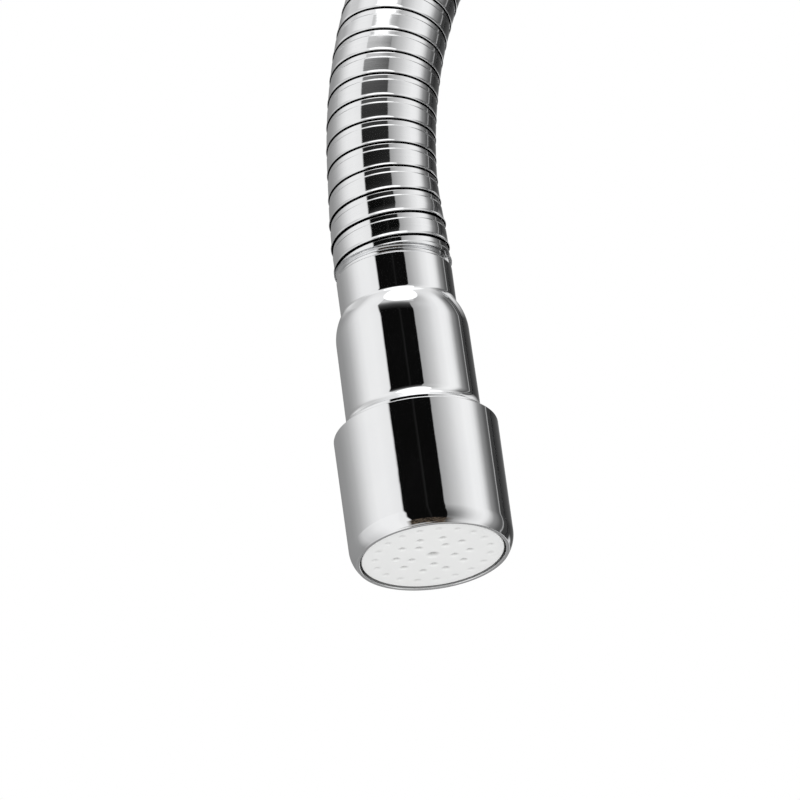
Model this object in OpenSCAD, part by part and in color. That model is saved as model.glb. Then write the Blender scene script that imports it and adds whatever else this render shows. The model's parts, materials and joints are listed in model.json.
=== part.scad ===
// Bath sprayer on a stay-put gooseneck. A stripwound steel neck rises from a swivel
// nut, arches over and carries a small screw-capped spray head. A water tube runs
// through it. Origin: centre of the inlet's sealing plane, inside the nut. +Z runs up
// the neck's leg, and the arch leans over towards -X. All sizes are in millimetres.

/* [Neck] */
// Outside diameter of the wound neck
neck_d = 17; // [16.6:0.1:17.6]
// Advance of one turn of the strip along the neck
turn_pitch = 4; // [3.9:0.05:4.4]
// Turns in one run, the stretch of neck that moves as a piece
run_turns = 6; // [6:1:7]
// Thickness of the steel strip
strip_t = 0.3; // [0.26:0.01:0.32]
// Radial play between a turn's tucked edge and the lip that laps it
lap_play = 0.3; // [0.28:0.01:0.32]
// Length of the edge that is tucked under the turn before it
tuck_l = 1.6; // [1.5:0.05:1.7]
// Width of the seam between a lip and the next turn
seam_w = 0.25; // [0.2:0.01:0.3]
// Width of the low foot on each turn that the lip before it slides over
foot_w = 0.95; // [0.9:0.01:1]
// Height of that foot over the tucked edge
foot_h = 0.12; // [0.08:0.01:0.14]
// Fall of each turn's land from its lip back to its foot
land_fall = 0.08; // [0.04:0.01:0.1]

/* [Route] */
// Radius of the arch, at the middle of the neck
arch_r = 94; // [88:1:98]
// Angle that the arch turns through between the leg and the head
arch_angle = 188.9; // [180:0.1:195]
// Straight length of neck next to the head
head_straight = 7; // [5:1:12]

/* [Water tube] */
// Outside diameter of the water tube
tube_d = 12; // [11.6:0.1:12.2]
// Bore of the water tube
tube_bore_d = 7.2; // [6.6:0.1:7.6]
// Gap between two lengths of tube, where the neck bends
tube_gap = 0.65; // [0.6:0.01:0.8]
// Diameter over the barbs that the tube is pushed onto
barb_d = 8; // [7.8:0.1:8.2]
// Number of barbs on each stem
barbs = 3; // [2:1:3]
// Length of one barb
barb_l = 3.2; // [2.8:0.1:3.4]
// Water way through both stems
stem_bore_d = 5.8; // [5:0.1:6]
// Wall of the crimp sleeves
crimp_t = 0.5; // [0.4:0.05:0.6]
// Length of the crimp sleeves
crimp_l = 8; // [7:0.5:9]

/* [Inlet nut] */
// Root diameter of the nut's half-inch pipe thread
thread_d = 18.631; // [18.6:0.001:18.7]
// Length of that thread
thread_l = 9.2; // [8:0.1:11]
// Width of the nut across its flats
nut_af = 24; // [23.6:0.1:26]
// Thickness of the nut's shoulder over the flange
nut_shoulder = 2.1; // [1.8:0.1:2.6]
// Thickness of the flat sealing washer
washer_t = 2; // [1.5:0.1:2.5]
// Hole through the sealing washer
washer_hole_d = 10.4; // [10:0.1:11]
// Thickness of the tailpiece's flange
flange_t = 2; // [1.8:0.1:2.6]
// Diameter of the tailpiece where the nut turns on it
shank_d = 14.56; // [14.4:0.01:14.8]
// Running play between the nut and the tailpiece, on the radius
nut_play = 0.07; // [0.05:0.01:0.09]

/* [Base ferrule] */
// Largest diameter of the base ferrule
base_ferrule_d = 20.4; // [20:0.1:22]
// Diameter of the base ferrule next to the neck
base_ferrule_top_d = 17.96; // [17.8:0.02:18.4]
// Length of the base ferrule
base_ferrule_l = 16.75; // [16:0.05:18]

/* [Head collar and stem] */
// Diameter of the collar that ends the neck
collar_d = 17.2; // [17:0.1:17.6]
// Length of that collar
collar_l = 1.15; // [1:0.05:1.5]
// Rounding of the collar's edge next to the turning barrel
collar_round = 0.55; // [0.3:0.05:0.6]
// Diameter of the spindle that the head turns on
spindle_d = 11.08; // [10.8:0.02:11.2]
// Running play of the spindle in the barrel, on the radius
spindle_play = 0.06; // [0.04:0.01:0.08]
// Section of the spindle's seals
seal_w = 1.36; // [1.2:0.02:1.4]
// Gap between the collar and the turning barrel
turn_gap = 0.25; // [0.2:0.05:0.35]

/* [Barrel] */
// Diameter of the barrel just above the cap
barrel_d = 20.84; // [20.4:0.02:21.2]
// Diameter of the barrel below its shoulder
barrel_top_d = 20.62; // [20.2:0.02:20.8]
// Length of the barrel from the cap to its neck
barrel_l = 20.6; // [19:0.1:22]
// Length of the rounded shoulder up to the neck
shoulder_l = 4.6; // [4:0.1:5.2]
// Diameter of the barrel's neck
barrel_neck_d = 17.96; // [17.8:0.02:18.4]
// Length of the barrel's neck
barrel_neck_l = 6.3; // [6:0.1:7]
// Radius of the fillet between the shoulder and the neck
neck_fillet = 1.2; // [0.8:0.1:1.6]
// Radius of the fillet where the barrel meets the cap
foot_fillet = 3; // [2.4:0.1:3.4]
// Bore that holds the regulator, the screen and the diffuser
chamber_d = 20.4; // [20.3:0.1:20.8]
// Depth of that bore
chamber_l = 7.6; // [7.4:0.1:8.4]

/* [Cap and spray face] */
// Outside diameter of the screw cap
cap_d = 25.5; // [25.3:0.1:26.5]
// Length of the screw cap
cap_l = 21.3; // [20.7:0.1:22.7]
// Wall of the cap over its thread
cap_wall = 0.8; // [0.7:0.05:0.85]
// Length of the rounded edge at the cap's mouth
cap_round_l = 2.7; // [2.1:0.1:3.1]
// Depth of that rounded edge on the radius
cap_round_h = 0.9; // [0.7:0.05:1]
// Depth that the spray face lies below the cap's rim
face_recess = 0.3; // [0.2:0.1:0.6]
// Diameter of the spray face that shows
face_d = 22.06; // [21.8:0.02:22.2]
// Thickness of the spray face's rim that shows
face_rim_t = 1.4; // [1.2:0.1:1.6]
// Thickness of the flange that the cap holds
face_flange_t = 1.6; // [1.4:0.1:1.8]
// Diameter of the spray holes
jet_d = 1; // [0.8:0.05:1.1]
// Width of the dimple at each spray hole
dimple_d = 1.5; // [1.3:0.05:1.6]
// Pitch radius of the inner, middle and outer rings of holes
jet_ring_r = [3.5, 5.7, 9];
// Holes in the inner, middle and outer rings
jet_count = [5, 10, 19];
// Width of the blind dimple at the centre
centre_dimple_d = 1.8; // [1.4:0.1:2.2]

/* [Hidden] */
$fn = 64;

seat = 0.05;                              // clearance between pieces that seat on each other
slide = 0.1;                              // clearance round pieces that drop into a bore
cut = 1;                                  // how far a cutter runs past what it cuts

// Neck: one turn in section, outwards from the tucked edge to the lip
lip_r = neck_d / 2;
lip_in_r = lip_r - strip_t;
tuck_r = lip_in_r - lap_play;
tuck_in_r = tuck_r - strip_t;
foot_r = tuck_r + foot_h;
turn_l = turn_pitch - seam_w;
lip_round = strip_t / 2;
ramp_l = 0.15;                            // run of the slopes in a turn's section

// Neck: route and runs
runs = 17;
neck_l = runs * run_turns * turn_pitch;
arch_l = arch_r * arch_angle * PI / 180;
leg_l = neck_l - arch_l - head_straight;
lap_mid = (tuck_l + seam_w) / 2;          // a run bends at the middle of its lap

// Base: levels along Z above the sealing plane
flange_z = washer_t + 2 * seat;
thrust_z = flange_z + flange_t + seat;
thrust_t = 0.6;
shoulder_z = thrust_z + thrust_t + slide;
nut_top_z = shoulder_z + nut_shoulder;
cavity_r = thread_d / 2 + 0.3;
flange_r = cavity_r - 0.5;
thread_chamfer = 0.6;
ferrule_z = nut_top_z + 0.4;
ferrule_bore_r = 7;                       // bore of the ferrule and of the collar's skirt
ferrule_wall_z = ferrule_z + 4.6;         // top of the ferrule's seat on the tailpiece
neck_z = ferrule_z + base_ferrule_l + seam_w;
stem_z = ferrule_wall_z + 0.6;
pocket_l = tuck_l + 0.6;                  // depth of a pocket for a tucked edge

// Tube and stems
tube_r = tube_d / 2;
tube_bore_r = tube_bore_d / 2;
barb_r = barb_d / 2;
barb_root_r = barb_r - 0.55;
stem_l = barbs * barb_l;
stem_bore_r = stem_bore_d / 2;
crimp_r = tube_r + seat;
crimp_gap = 2;                            // from the tube's end to its crimp sleeve
spigot_l = 4.5;                           // reach of the collar's spigot into the neck

// Head: levels up from the spray face, against the flow
cap_top_h = cap_l - face_recess;
barrel_foot_h = cap_top_h + seat;
barrel_neck_h = barrel_foot_h + barrel_l;
barrel_top_h = barrel_neck_h + barrel_neck_l;
collar_foot_h = barrel_top_h + turn_gap;
collar_top_h = collar_foot_h + collar_l;
head_l = collar_top_h + seam_w;
socket_floor_h = barrel_neck_h - turn_gap; // floor of the socket for the collar's skirt
skirt_foot_h = socket_floor_h + turn_gap;
skirt_r = 7.9;
skirt_play = 0.09;
flange_h = face_rim_t + face_flange_t;
face_seal_w = 1.3;
barrel_end_h = flange_h + face_seal_w + 0.04;
chamber_top_h = barrel_end_h + chamber_l;
cap_r = cap_d / 2;
cap_in_r = cap_r - cap_wall;
barrel_thread_r = cap_in_r - slide;
rim_play = 0.32;                          // round the spray face in the cap's mouth
rim_in_r = face_d / 2 + rim_play;
foot_edge_r = cap_in_r - 2 * slide;       // where the barrel's foot runs into the cap
foot_rise = 0.6;                          // from the cap's top to the foot's fillet
spindle_r = spindle_d / 2;
spindle_bore_r = spindle_r + spindle_play;
clip_room_h = chamber_top_h + 5.2;        // top of the room for the clip
washer_h = clip_room_h - 0.6;             // underside of the slip washer
clip_t = 1;
clip_h = washer_h - seat - clip_t;
spindle_end_h = clip_h - 1.2;
groove_r = spindle_r - seal_w + 0.02;
seal_h = [clip_room_h + 5, clip_room_h + 11];
stem_shoulder_h = skirt_foot_h + 0.5;
head_stem_h = stem_shoulder_h + 2.1;      // where the barbs begin

// Stack in the chamber, from the spray face upwards
diffuser_h = barrel_end_h + 0.4;
diffuser_t = 1.6;
screen_h = diffuser_h + diffuser_t + seat;
screen_t = 0.5;
regulator_h = screen_h + screen_t + seat;
regulator_t = chamber_top_h - regulator_h - slide;
regulator_floor_t = 1.6;
regulator_seal_w = 1.8;
port_ring_r = 5;                          // pitch radius of the regulator's ports
insert_r = chamber_d / 2 - slide;
jet_start = [14.7, 32.7, 2.3];            // angle of the first hole in each ring

// Points on an arc in a section: centre c, radius r, from angle a to angle b
function arc(c, r, a, b, n = 8) =
    [for (i = [0:n]) c + r * [cos(a + (b - a) * i / n), sin(a + (b - a) * i / n)]];
// Radius of the arc that leaves a wall square to its end and rises h over length l
function rise_radius(l, h) = (l * l + h * h) / (2 * h);
// Two-digit name of run k
function run_name(stem, k) = str(stem, k < 10 ? "0" : "", k);
// Distance along the neck of the bend after run k
function bend_s(k) = k * run_turns * turn_pitch - lap_mid;

// Puts its children at distance s along the neck, with +Z along the flow
module along_neck(s) {
    a = min(max(s - leg_l, 0), arch_l) / arch_r * 180 / PI;
    straight = min(s - leg_l, 0) + max(s - leg_l - arch_l, 0);
    translate([-arch_r, 0, neck_z + leg_l])
        rotate([0, -a, 0])
            translate([arch_r, 0, straight])
                children();
}

// Puts its children on the head, with +Z up from the spray face against the flow
module on_head() {
    along_neck(neck_l)
        translate([0, 0, head_l])
            rotate([180, 0, 0])
                children();
}

// A ring between two radii and two heights
module ring(r_in, r_out, z1, z2) {
    translate([0, 0, z1]) difference() {
        cylinder(r = r_out, h = z2 - z1);
        translate([0, 0, -cut]) cylinder(r = r_in, h = z2 - z1 + 2 * cut);
    }
}

// Children repeated n times round a ring of radius r, the first at angle a
module around(n, r, a = 0) {
    for (i = [0:n - 1])
        rotate([0, 0, a + 360 * i / n]) translate([r, 0, 0]) children();
}

// Section of one turn: tucked edge, foot, land, rounded lip and the pocket inside it
module turn_section() {
    land_r = lip_r - land_fall;
    polygon(concat(
        [[tuck_in_r, -tuck_l], [tuck_r, -tuck_l], [tuck_r, ramp_l], [foot_r, 2 * ramp_l]],
        [[foot_r, foot_w], [land_r, foot_w + ramp_l], [land_r + land_fall / 2, turn_l - 3 * ramp_l]],
        arc([lip_r - lip_round, turn_l - lip_round], lip_round, 0, 90, 3),
        [[lip_in_r, turn_l], [lip_in_r, foot_w + 2 * ramp_l], [tuck_in_r, foot_w]]
    ));
}

// Run k of the neck: turns set one after another along the route, each lip over the
// tucked edge of the next
module neck_run(k) {
    color("silver")
        for (i = [(k - 1) * run_turns:k * run_turns - 1])
            along_neck(i * turn_pitch + turn_l / 2)
                translate([0, 0, -turn_l / 2])
                    rotate_extrude() turn_section();
}

// A bar of radius r that leaves height 0 along +Z and bends with the arch through angle a
module bent_bar(r, a) {
    translate([-arch_r, 0, 0])
        rotate([90, 0, 0])
            rotate_extrude(angle = a) translate([arch_r, 0]) circle(r = r);
}

// A bar of radius r along the route from s1 to s2. Its bent part is drawn from the end
// where it meets a straight one, so that the two faces are the same
module bar_along(r, s1, s2) {
    arch_end = leg_l + arch_l;
    b1 = max(s1, leg_l);
    b2 = min(s2, arch_end);
    bend = (b2 - b1) / arch_l * arch_angle;
    if (s1 < leg_l)
        along_neck(s1) cylinder(r = r, h = min(s2, leg_l) - s1);
    if (b1 < b2 && s2 <= arch_end)
        along_neck(b1) bent_bar(r, bend);
    if (s2 > arch_end)
        along_neck(arch_end) {
            cylinder(r = r, h = s2 - arch_end);
            bent_bar(r, -bend);
        }
}

// Length k of the water tube. The two end lengths are stretched over a barbed stem
module tube_run(k) {
    s1 = k == 1 ? stem_z - neck_z + seat : bend_s(k - 1) + tube_gap / 2;
    s2 = k == runs ? neck_l + head_l - head_stem_h - seat : bend_s(k) - tube_gap / 2;
    color("dimgray") difference() {
        bar_along(tube_r, s1, s2);
        bar_along(tube_bore_r, s1, s2);
        if (k == 1) along_neck(s1) stretched_bore();
        if (k == runs) along_neck(s2) rotate([180, 0, 0]) stretched_bore();
    }
}

// The widened end of the tube's bore, over a stem's barbs
module stretched_bore() {
    translate([0, 0, -cut]) cylinder(r = barb_r + seat, h = cut + stem_l + 2 * seat);
}

// A barbed stem that points up from height 0, each barb sloped towards its tip
module barbed_stem() {
    barb_edge = 0.4;
    rotate_extrude()
        polygon(concat(
            [[stem_bore_r, 0]],
            [for (i = [0:barbs - 1]) each
                [[barb_root_r, i * barb_l], [barb_r, i * barb_l + barb_edge],
                 [barb_root_r, (i + 1) * barb_l]]],
            [[stem_bore_r, stem_l]]
        ));
}

// A crimp sleeve from height 0, pinched by two shallow grooves
module crimp_sleeve() {
    groove = crimp_t / 3;
    outer = crimp_r + crimp_t;
    color("lightgray") rotate_extrude() difference() {
        translate([crimp_r, 0]) square([crimp_t, crimp_l]);
        for (z = [crimp_l * 0.3, crimp_l * 0.7])
            translate([outer + 1 - groove, z]) circle(r = 1);
    }
}

module connector_nut() {
    hex_r = nut_af / 2 / cos(30);
    hex_top_z = shoulder_z - 1.4;
    bottom_z = -thread_l - thread_chamfer;
    bevel = hex_r - nut_af / 2;
    color("gainsboro") difference() {
        union() {
            intersection() {
                translate([0, 0, bottom_z]) cylinder(r = hex_r, h = hex_top_z - bottom_z, $fn = 6);
                rotate_extrude() polygon([
                    [0, bottom_z], [hex_r - bevel, bottom_z], [hex_r, bottom_z + bevel * 0.7],
                    [hex_r, hex_top_z - bevel * 0.7], [hex_r - bevel, hex_top_z], [0, hex_top_z]
                ]);
            }
            rotate_extrude() polygon(concat(
                [[0, hex_top_z - 1]],
                [[nut_af / 2 - 0.6, hex_top_z - 1], [nut_af / 2 - 0.6, hex_top_z + 0.6]],
                arc([base_ferrule_d / 2 - 0.4, nut_top_z - 1], 1, 0, 90, 4),
                [[0, nut_top_z]]
            ));
        }
        translate([0, 0, bottom_z - cut])
            cylinder(d = thread_d, h = thread_l + thread_chamfer + 2 * cut);
        rotate_extrude() polygon([
            [0, bottom_z - cut], [thread_d / 2 + thread_chamfer + cut, bottom_z - cut],
            [thread_d / 2, -thread_l], [0, -thread_l]
        ]);
        cylinder(r = cavity_r, h = shoulder_z);
        cylinder(r = shank_d / 2 + nut_play, h = nut_top_z + cut);
    }
}

module nut_washer() {
    color("#2b2b2b") ring(washer_hole_d / 2, flange_r, seat, seat + washer_t);
}

// A pressed steel screen with a rim, dropped into the washer's hole
module inlet_strainer() {
    rim_r = washer_hole_d / 2 - slide;
    sheet_t = 0.3;
    mesh_hole_d = 1;
    mesh_pitch = 1.6;
    color("lightgray") union() {
        ring(rim_r - 0.5, rim_r, seat, seat + 1.2);
        difference() {
            translate([0, 0, seat]) cylinder(r = rim_r - 0.2, h = sheet_t);
            translate([0, 0, seat - cut]) {
                cylinder(d = mesh_hole_d, h = sheet_t + 2 * cut);
                for (row = [1:2])
                    around(6 * row, mesh_pitch * row) cylinder(d = mesh_hole_d, h = sheet_t + 2 * cut);
            }
        }
    }
}

// Brass tailpiece: flange in the nut, shank that the nut turns on, seat for the
// ferrule, and a barbed stem up into the water tube
module tailpiece() {
    color("goldenrod") union() {
        rotate_extrude() polygon([
            [stem_bore_r + 1, flange_z], [flange_r, flange_z], [flange_r, flange_z + flange_t],
            [shank_d / 2, flange_z + flange_t], [shank_d / 2, ferrule_z - slide],
            [ferrule_bore_r - seat, ferrule_z - slide], [ferrule_bore_r - seat, ferrule_wall_z],
            [barb_root_r, stem_z], [stem_bore_r, stem_z], [stem_bore_r, ferrule_z]
        ]);
        translate([0, 0, stem_z]) barbed_stem();
    }
}

module thrust_washer() {
    color("ivory") ring(shank_d / 2 + nut_play + slide, flange_r, thrust_z, thrust_z + thrust_t);
}

// Chromed sleeve over the neck's foot, waisted, with a pocket for the first tucked edge
module base_ferrule() {
    top_z = ferrule_z + base_ferrule_l;
    big_r = base_ferrule_d / 2;
    top_r = base_ferrule_top_d / 2;
    waist_z = ferrule_z + 5.5;
    flare = big_r - top_r;
    sweep = rise_radius(4, flare);
    sweep_a = asin(4 / sweep);
    color("gainsboro") rotate_extrude() polygon(concat(
        [[ferrule_bore_r, ferrule_z], [big_r - 0.4, ferrule_z], [big_r, ferrule_z + 0.4]],
        [[big_r, waist_z - 1]],
        arc([top_r + sweep, waist_z + 3], sweep, 180 + sweep_a, 180, 6),
        arc([top_r - 0.35, top_z - 0.35], 0.35, 0, 90, 3),
        [[lip_in_r, top_z], [lip_in_r, top_z - pocket_l], [ferrule_bore_r, top_z - pocket_l]]
    ));
}

module base_crimp() {
    translate([0, 0, stem_z + crimp_gap]) crimp_sleeve();
}

// Chromed collar on the neck's head end, with a skirt that the barrel turns on and a
// spigot that reaches up inside the last turns
module head_collar() {
    r = collar_d / 2;
    spigot_r = tuck_in_r - slide;
    spigot_top_h = head_l + spigot_l;
    color("gainsboro") on_head() rotate_extrude() polygon(concat(
        [[ferrule_bore_r, skirt_foot_h], [skirt_r, skirt_foot_h], [skirt_r, collar_foot_h]],
        arc([r - collar_round, collar_foot_h + collar_round], collar_round, -90, 0, 5),
        [[r, collar_top_h - 0.2], [r - 0.2, collar_top_h], [spigot_r, collar_top_h]],
        [[spigot_r, spigot_top_h], [ferrule_bore_r, spigot_top_h]]
    ));
}

// Brass stem: barbs into the water tube, a body in the collar's skirt, and the spindle that
// the head turns on, with grooves for its seals and its clip
module head_stem() {
    body_r = ferrule_bore_r - seat;
    groove_w = seal_w + 2 * slide;
    color("goldenrod") on_head() union() {
        difference() {
            rotate_extrude() polygon([
                [stem_bore_r, spindle_end_h], [spindle_r - 0.4, spindle_end_h],
                [spindle_r, spindle_end_h + 0.4], [spindle_r, stem_shoulder_h],
                [body_r, stem_shoulder_h],
                [body_r, head_stem_h - 0.6], [barb_root_r, head_stem_h], [stem_bore_r, head_stem_h]
            ]);
            for (h = seal_h) ring(groove_r, spindle_r + cut, h - groove_w / 2, h + groove_w / 2);
            ring(spindle_r - 0.7, spindle_r + cut, clip_h - seat, clip_h + clip_t + seat);
        }
        translate([0, 0, head_stem_h]) barbed_stem();
    }
}

module head_crimp() {
    on_head() translate([0, 0, head_stem_h + crimp_gap]) crimp_sleeve();
}

// A round-section ring: centre line radius r, section d
module seal_ring(r, d) {
    rotate_extrude() translate([r, 0]) circle(d = d);
}

module stem_o_rings() {
    color("#2b2b2b") on_head()
        for (h = seal_h) translate([0, 0, h]) seal_ring(groove_r + seal_w / 2, seal_w - 0.04);
}

// Open spring clip that keeps the spindle in the barrel
module swivel_clip() {
    color("lightgray") on_head() difference() {
        ring(spindle_r - 0.65, spindle_r + 1.3, clip_h, clip_h + clip_t);
        translate([0, -1.2, clip_h - cut]) cube([2 * spindle_r, 2.4, clip_t + 2 * cut]);
    }
}

module slip_washer() {
    color("ivory") on_head()
        ring(spindle_r + slide, spindle_r + 1.7, washer_h, clip_room_h - seat);
}

// Chromed barrel: neck, rounded shoulder, long body, filleted foot on the cap, and
// below it the threaded end with the chamber for the water parts
module barrel() {
    foot_r = barrel_d / 2;
    top_r = barrel_top_d / 2;
    neck_r = barrel_neck_d / 2;
    shoulder_h = barrel_neck_h - shoulder_l;
    dome = rise_radius(shoulder_l, top_r - neck_r);
    dome_c = top_r - dome;
    fillet_a = acos((neck_r + neck_fillet - dome_c) / (dome + neck_fillet));
    fillet_h = shoulder_h + (dome + neck_fillet) * sin(fillet_a);
    foot_a = acos((foot_r + foot_fillet - foot_edge_r) / foot_fillet);
    foot_c = [foot_r + foot_fillet, cap_top_h + foot_rise + foot_fillet * sin(foot_a)];
    color("gainsboro") on_head() difference() {
        rotate_extrude() polygon(concat(
            [[0, barrel_end_h], [barrel_thread_r - 0.5, barrel_end_h]],
            [[barrel_thread_r, barrel_end_h + 0.5], [barrel_thread_r, cap_top_h - 1]],
            [[foot_edge_r, cap_top_h - 1]],
            arc(foot_c, foot_fillet, 180 + foot_a, 180, 6),
            arc([dome_c, shoulder_h], dome, 0, fillet_a, 8),
            arc([neck_r + neck_fillet, fillet_h], neck_fillet, 180 + fillet_a, 180, 4),
            arc([neck_r - 0.4, barrel_top_h - 0.4], 0.4, 0, 90, 4),
            [[0, barrel_top_h]]
        ));
        translate([0, 0, barrel_end_h - cut]) cylinder(d = chamber_d, h = chamber_l + cut);
        translate([0, 0, chamber_top_h - cut])
            cylinder(r = spindle_r + 1.9, h = clip_room_h - chamber_top_h + cut);
        translate([0, 0, clip_room_h - cut])
            cylinder(r = spindle_bore_r, h = socket_floor_h - clip_room_h + 2 * cut);
        translate([0, 0, socket_floor_h])
            cylinder(r = skirt_r + skirt_play, h = barrel_top_h - socket_floor_h + cut);
    }
}

// Plastic flow regulator: a cup with a ring of ports round a core, and a groove for
// its soft ring
module flow_regulator() {
    groove_w = 2 * regulator_seal_w;
    port_d = 1.4;
    color("white") on_head() difference() {
        rotate_extrude() difference() {
            translate([0, regulator_h]) square([insert_r, regulator_t]);
            translate([port_ring_r - groove_w / 2, regulator_h + regulator_floor_t])
                square([groove_w, regulator_t]);
        }
        around(12, port_ring_r)
            translate([0, 0, regulator_h - cut]) cylinder(d = port_d, h = regulator_t + 2 * cut);
    }
}

module regulator_o_ring() {
    color("#2b2b2b") on_head()
        translate([0, 0, regulator_h + regulator_floor_t + seat + regulator_seal_w / 2])
            seal_ring(port_ring_r, regulator_seal_w);
}

// Round steel screen: rings of fine holes in a thin disc
module filter_screen() {
    screen_pitch = 1.9;
    color("lightgray") on_head() difference() {
        translate([0, 0, screen_h]) cylinder(r = insert_r, h = screen_t);
        for (row = [1:4])
            around(6 * row, screen_pitch * row)
                translate([0, 0, screen_h - cut]) cylinder(d = 1, h = screen_t + 2 * cut);
    }
}

// Plastic plate that spreads the water over the spray face
module diffuser() {
    diffuser_pitch = 2.1;
    color("white") on_head() difference() {
        translate([0, 0, diffuser_h]) cylinder(r = insert_r, h = diffuser_t);
        for (row = [2:4])
            around(5 * row, diffuser_pitch * row, 9 * row)
                translate([0, 0, diffuser_h - cut]) cylinder(d = 1.3, h = diffuser_t + 2 * cut);
    }
}

module face_o_ring() {
    color("#2b2b2b") on_head()
        translate([0, 0, flange_h + 0.02 + face_seal_w / 2])
            seal_ring(chamber_d / 2 + slide + face_seal_w / 2, face_seal_w);
}

// White spray face: the disc that shows, the flange that the cap holds and a collar
// that bears on the diffuser. Each hole opens in a shallow dimple
module spray_face() {
    flange_edge_r = cap_in_r - slide;
    collar_t = insert_r - jet_ring_r[2] - jet_d / 2 - seat;
    color("white") on_head() difference() {
        rotate_extrude() polygon([
            [0, 0], [face_d / 2 - 0.2, 0], [face_d / 2, 0.2], [face_d / 2, face_rim_t],
            [flange_edge_r, face_rim_t], [flange_edge_r, flange_h], [insert_r, flange_h],
            [insert_r, diffuser_h - seat], [insert_r - collar_t, diffuser_h - seat],
            [insert_r - collar_t, flange_h - 0.8], [0, flange_h - 0.8]
        ]);
        for (ring_i = [0:2])
            around(jet_count[ring_i], jet_ring_r[ring_i], jet_start[ring_i]) jet();
        rotate_extrude() polygon([[0, -cut], [centre_dimple_d / 2 + cut, -cut], [0, 0.4]]);
    }
}

// Cutter for one spray hole: the bore and the dimple round its mouth
module jet() {
    translate([0, 0, -cut]) cylinder(d = jet_d, h = flange_h + 2 * cut);
    rotate_extrude() polygon([
        [0, -cut], [dimple_d / 2, -cut], [dimple_d / 2, 0], [jet_d / 2 - 0.05, 0.3], [0, 0.3]
    ]);
}

// Chromed screw cap: plain wall, rounded mouth, an inner lip that holds the face
module spray_cap() {
    round_r = rise_radius(cap_round_l, cap_round_h);
    round_a = asin(cap_round_l / round_r);
    color("gainsboro") on_head() rotate_extrude() polygon(concat(
        [[rim_in_r, face_rim_t - seat], [rim_in_r, -face_recess]],
        arc([cap_r - round_r, cap_round_l - face_recess], round_r, -round_a, 0, 8),
        [[cap_r, cap_top_h - 0.15], [cap_r - 0.15, cap_top_h], [cap_in_r, cap_top_h]],
        [[cap_in_r, face_rim_t - seat]]
    ));
}

connector_nut();
nut_washer();
inlet_strainer();
tailpiece();
thrust_washer();
base_ferrule();
base_crimp();
for (k = [1:runs]) {
    neck_run(k);
    tube_run(k);
}
head_collar();
head_stem();
head_crimp();
stem_o_rings();
swivel_clip();
slip_washer();
barrel();
flow_regulator();
regulator_o_ring();
filter_screen();
diffuser();
face_o_ring();
spray_face();
spray_cap();
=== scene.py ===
"""Bath sprayer on a stay-put gooseneck: the finished surfaces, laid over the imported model.

Shapes are worked out in millimetres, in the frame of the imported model. Piece.build turns
them into metres. Distances along the neck start at its foot, and heights on the head
start at the spray face and run up against the flow. A turned piece has an outline of
points (radius, height), or (radius, height, rounding) for rounded().
"""

import json
import math

import bpy
import numpy as np
from mathutils import Matrix, Vector


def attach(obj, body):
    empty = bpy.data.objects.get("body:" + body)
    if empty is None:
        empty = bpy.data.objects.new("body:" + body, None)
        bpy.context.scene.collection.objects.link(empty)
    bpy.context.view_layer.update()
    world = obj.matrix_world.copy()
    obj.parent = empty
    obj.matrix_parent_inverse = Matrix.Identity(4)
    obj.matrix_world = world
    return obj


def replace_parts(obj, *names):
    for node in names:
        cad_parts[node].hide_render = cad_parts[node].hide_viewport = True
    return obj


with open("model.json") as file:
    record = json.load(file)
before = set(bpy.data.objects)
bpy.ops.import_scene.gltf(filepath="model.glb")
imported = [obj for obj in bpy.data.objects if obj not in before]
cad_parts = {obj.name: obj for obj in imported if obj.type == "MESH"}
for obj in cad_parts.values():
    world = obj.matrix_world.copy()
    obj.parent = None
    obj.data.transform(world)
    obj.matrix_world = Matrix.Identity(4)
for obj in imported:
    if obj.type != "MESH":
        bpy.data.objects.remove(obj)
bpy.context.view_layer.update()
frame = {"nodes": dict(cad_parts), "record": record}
TAU = 2 * math.pi
MM_PER_M = 1000

# Route of the neck
NECK_FOOT = 24.35                 # height of its lower end
NECK_L = 408.0
RUN_L = 24.0                      # from one bend to the next
RUNS = 17
JOINT_BACK = 0.925                # each bend lies this far before its run's end
ARCH_R = 94.0
ARCH_L = ARCH_R * math.radians(188.9)
LAST_STRAIGHT = 7.0               # between the arch and the neck's far end
LEG_L = NECK_L - ARCH_L - LAST_STRAIGHT
HEAD_L = 49.6                     # from the neck's far end to the spray face

# Winding of the strip: the edge of its lip is at LIP_AT where the angle is LIP_ANGLE
PITCH = 4.0
LIP_AT = 401.0
LIP_ANGLE = 2.119
STEPS_PER_TURN = 72

# Roundings: straight piece kept beside each, and the angle between two points on it
SUPPORT = 0.05
ROUNDING_STEP = math.radians(11)


def route(s):
    """Middle line of the neck at distances s: points, outward directions, flow directions.

    The leg runs straight up. The arch is a circle of radius ARCH_R about a centre at the
    leg's top, so outward is (cos a, 0, sin a) and flow is (-sin a, 0, cos a) at angle a.
    What is left of s beyond either end of the arch runs straight along the flow.
    """
    s = np.asarray(s, float)
    a = np.clip(s - LEG_L, 0, ARCH_L) / ARCH_R
    straight = np.minimum(s - LEG_L, 0) + np.maximum(s - LEG_L - ARCH_L, 0)
    zero = np.zeros_like(a)
    outward = np.stack([np.cos(a), zero, np.sin(a)], -1)
    flow = np.stack([-np.sin(a), zero, np.cos(a)], -1)
    centre = np.array([-ARCH_R, 0, NECK_FOOT + LEG_L])
    return centre + ARCH_R * outward + straight[..., None] * flow, outward, flow


def on_head(points):
    """Points given on the head, moved to its place: x outward, y across, z up from the face."""
    middle, outward, flow = route(NECK_L + HEAD_L)
    across = np.array([0.0, -1.0, 0.0])
    x, y, z = (points[..., i : i + 1] for i in range(3))
    return middle + x * outward + y * across - z * flow


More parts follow.
